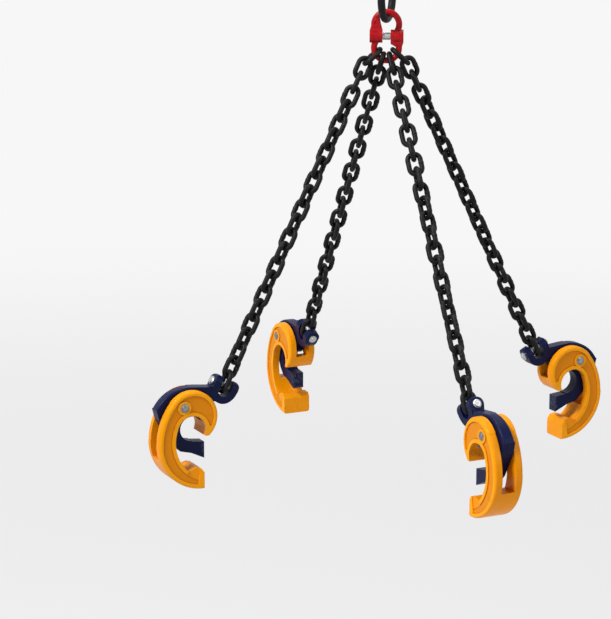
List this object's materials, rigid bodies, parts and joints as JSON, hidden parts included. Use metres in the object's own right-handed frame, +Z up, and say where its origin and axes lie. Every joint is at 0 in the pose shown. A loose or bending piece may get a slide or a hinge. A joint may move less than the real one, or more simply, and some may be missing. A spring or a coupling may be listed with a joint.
{
  "type": "drum lifter",
  "caption": "Drum lifter: chain legs spread from a bow coupling under an oval master link, each ending in a lever clamp that grips a drum rim.",
  "frame": {"origin": "hook seat: the inner top of the master link, on the middle line of the lifter", "axes": "+Z up, +X towards the right leg, +Y towards the back leg"},
  "size_m": [0.6998, 0.6998, 0.739],
  "materials": {
    "master_black": "black enamel",
    "coupling_red": "red powder coat",
    "chain_black": "black oxide",
    "pin_steel": "zinc plated",
    "lever_blue": "dark blue paint",
    "clamp_yellow": "yellow gloss paint"
  },
  "bodies": {
    "master_link": {"master_link": "master_black"},
    "coupling_upper": {"coupling_upper_half": "coupling_red", "load_pin_bar": "pin_steel", "pin_sleeve": "pin_steel"},
    "coupling_lower": {"coupling_lower_half": "coupling_red"},
    "right_top": {"right_top_link": "chain_black"},
    "right_upper": {"right_upper_chain": "chain_black"},
    "right_lower": {"right_lower_chain": "chain_black"},
    "right_end": {"right_end_link": "chain_black"},
    "right_lever": {"right_jaw_lever": "lever_blue", "right_clevis_pin": "pin_steel"},
    "right_clamp": {"right_clamp_body": "clamp_yellow", "right_pivot_pin": "pin_steel"},
    "back_top": {"back_top_link": "chain_black"},
    "back_upper": {"back_upper_chain": "chain_black"},
    "back_lower": {"back_lower_chain": "chain_black"},
    "back_end": {"back_end_link": "chain_black"},
    "back_lever": {"back_jaw_lever": "lever_blue", "back_clevis_pin": "pin_steel"},
    "back_clamp": {"back_clamp_body": "clamp_yellow", "back_pivot_pin": "pin_steel"},
    "left_top": {"left_top_link": "chain_black"},
    "left_upper": {"left_upper_chain": "chain_black"},
    "left_lower": {"left_lower_chain": "chain_black"},
    "left_end": {"left_end_link": "chain_black"},
    "left_lever": {"left_jaw_lever": "lever_blue", "left_clevis_pin": "pin_steel"},
    "left_clamp": {"left_clamp_body": "clamp_yellow", "left_pivot_pin": "pin_steel"},
    "front_top": {"front_top_link": "chain_black"},
    "front_upper": {"front_upper_chain": "chain_black"},
    "front_lower": {"front_lower_chain": "chain_black"},
    "front_end": {"front_end_link": "chain_black"},
    "front_lever": {"front_jaw_lever": "lever_blue", "front_clevis_pin": "pin_steel"},
    "front_clamp": {"front_clamp_body": "clamp_yellow", "front_pivot_pin": "pin_steel"}
  },
  "joints": [
    {"name": "coupling_swing", "type": "hinge", "parent": "master_link", "child": "coupling_upper", "pos_m": [0, 0, -0.10525], "axis": [0.6691, 0.7431, 0], "range_deg": [-15, 15]},
    {"name": "load_pin_turn", "type": "hinge", "parent": "coupling_upper", "child": "coupling_lower", "pos_m": [0, 0, -0.1284], "axis": [0.8829, -0.4695, 0], "range_deg": [-20, 20]},
    {"name": "right_top_swing", "type": "hinge", "parent": "coupling_lower", "child": "right_top", "pos_m": [0.01459, -0.00776, -0.14841], "axis": [0.6369, -0.1933, 0.7463], "range_deg": [-6, 6]},
    {"name": "right_chain_swing", "type": "hinge", "parent": "right_top", "child": "right_upper", "pos_m": [0.02798, -0.00941, -0.16544], "axis": [-0.221, -0.9732, -0.0635], "range_deg": [-12, 12]},
    {"name": "right_chain_bend", "type": "hinge", "parent": "right_upper", "child": "right_lower", "pos_m": [0.134, -0.00483, -0.37309], "axis": [0.4109, -0.8916, 0.1901], "range_deg": [-10, 10]},
    {"name": "right_end_link_swing", "type": "hinge", "parent": "right_lower", "child": "right_end", "pos_m": [0.2367, -0.0004, -0.57425], "axis": [0.0095, -0.9998, -0.0172], "range_deg": [-15, 15]},
    {"name": "right_clevis_turn", "type": "hinge", "parent": "right_end", "child": "right_lever", "pos_m": [0.246, 0, -0.59246], "axis": [0.8746, 0, 0.4848], "range_deg": [-15, 15]},
    {"name": "right_clamp_pivot", "type": "hinge", "parent": "right_lever", "child": "right_clamp", "pos_m": [0.312, 0, -0.61246], "axis": [0, 1, 0], "range_deg": [-6, 14]},
    {"name": "back_top_swing", "type": "hinge", "parent": "coupling_lower", "child": "back_top", "pos_m": [-0.00645, 0.00343, -0.15975], "axis": [0.8063, -0.513, -0.2945], "range_deg": [-12, 12]},
    {"name": "back_chain_swing", "type": "hinge", "parent": "back_top", "child": "back_upper", "pos_m": [-0.00517, 0.01324, -0.17776], "axis": [0.5914, 0.6911, 0.4154], "range_deg": [-6, 6]},
    {"name": "back_chain_bend", "type": "hinge", "parent": "back_upper", "child": "back_lower", "pos_m": [-0.00265, 0.12648, -0.37952], "axis": [0.9409, -0.3002, -0.1568], "range_deg": [-10, 10]},
    {"name": "back_end_link_swing", "type": "hinge", "parent": "back_lower", "child": "back_end", "pos_m": [-0.00022, 0.23607, -0.57477], "axis": [0.9999, -0.0053, 0.0095], "range_deg": [-15, 15]},
    {"name": "back_clevis_turn", "type": "hinge", "parent": "back_end", "child": "back_lever", "pos_m": [0, 0.246, -0.59246], "axis": [0, 0.8746, 0.4848], "range_deg": [-15, 15]},
    {"name": "back_clamp_pivot", "type": "hinge", "parent": "back_lever", "child": "back_clamp", "pos_m": [0, 0.312, -0.61246], "axis": [-1, 0, 0], "range_deg": [-6, 14]},
    {"name": "left_top_swing", "type": "hinge", "parent": "coupling_lower", "child": "left_top", "pos_m": [-0.01459, 0.00776, -0.14841], "axis": [-0.6369, 0.1933, 0.7463], "range_deg": [-6, 6]},
    {"name": "left_chain_swing", "type": "hinge", "parent": "left_top", "child": "left_upper", "pos_m": [-0.02798, 0.00941, -0.16544], "axis": [0.221, 0.9732, -0.0635], "range_deg": [-12, 12]},
    {"name": "left_chain_bend", "type": "hinge", "parent": "left_upper", "child": "left_lower", "pos_m": [-0.134, 0.00483, -0.37309], "axis": [-0.4636, 0.8588, 0.2178], "range_deg": [-10, 10]},
    {"name": "left_end_link_swing", "type": "hinge", "parent": "left_lower", "child": "left_end", "pos_m": [-0.2367, 0.0004, -0.57425], "axis": [-0.0095, 0.9998, -0.0172], "range_deg": [-15, 15]},
    {"name": "left_clevis_turn", "type": "hinge", "parent": "left_end", "child": "left_lever", "pos_m": [-0.246, 0, -0.59246], "axis": [-0.8746, 0, 0.4848], "range_deg": [-15, 15]},
    {"name": "left_clamp_pivot", "type": "hinge", "parent": "left_lever", "child": "left_clamp", "pos_m": [-0.312, 0, -0.61246], "axis": [0, -1, 0], "range_deg": [-6, 14]},
    {"name": "front_top_swing", "type": "hinge", "parent": "coupling_lower", "child": "front_top", "pos_m": [0.00645, -0.00343, -0.15975], "axis": [-0.8063, 0.513, -0.2945], "range_deg": [-12, 12]},
    {"name": "front_chain_swing", "type": "hinge", "parent": "front_top", "child": "front_upper", "pos_m": [0.00517, -0.01324, -0.17776], "axis": [-0.5914, -0.6911, 0.4154], "range_deg": [-6, 6]},
    {"name": "front_chain_bend", "type": "hinge", "parent": "front_upper", "child": "front_lower", "pos_m": [0.00265, -0.12648, -0.37952], "axis": [-0.9884, -0.1271, 0.0837], "range_deg": [-10, 10]},
    {"name": "front_end_link_swing", "type": "hinge", "parent": "front_lower", "child": "front_end", "pos_m": [0.00022, -0.23607, -0.57477], "axis": [-0.9999, 0.0053, 0.0095], "range_deg": [-15, 15]},
    {"name": "front_clevis_turn", "type": "hinge", "parent": "front_end", "child": "front_lever", "pos_m": [0, -0.246, -0.59246], "axis": [0, -0.8746, 0.4848], "range_deg": [-15, 15]},
    {"name": "front_clamp_pivot", "type": "hinge", "parent": "front_lever", "child": "front_clamp", "pos_m": [0, -0.312, -0.61246], "axis": [1, 0, 0], "range_deg": [-6, 14]}
  ]
}
